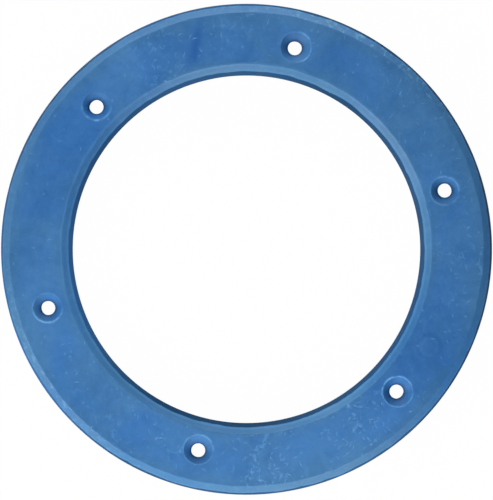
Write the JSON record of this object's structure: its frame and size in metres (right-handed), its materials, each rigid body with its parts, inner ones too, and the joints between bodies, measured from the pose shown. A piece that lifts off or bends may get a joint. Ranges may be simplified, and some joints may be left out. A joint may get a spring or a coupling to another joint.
{
  "type": "toilet flange ring",
  "caption": "Flat moulded plastic ring with bevelled edges and countersunk screw holes, screwed to the floor around a toilet drain to raise and carry the closet flange.",
  "frame": {"origin": "centre of the ring on the plane of its foot, the flat underside that lies on the floor", "axes": "+Z along the ring's axis, from the floor up to the countersunk face; +X from the axis through the middle of one screw hole"},
  "size_m": [0.1778, 0.1778, 0.0127],
  "materials": {
    "blue_plastic": "satin moulded plastic, cloudy blue, lightly scuffed"
  },
  "bodies": {
    "root": {"flange_ring": "blue_plastic"}
  },
  "joints": []
}
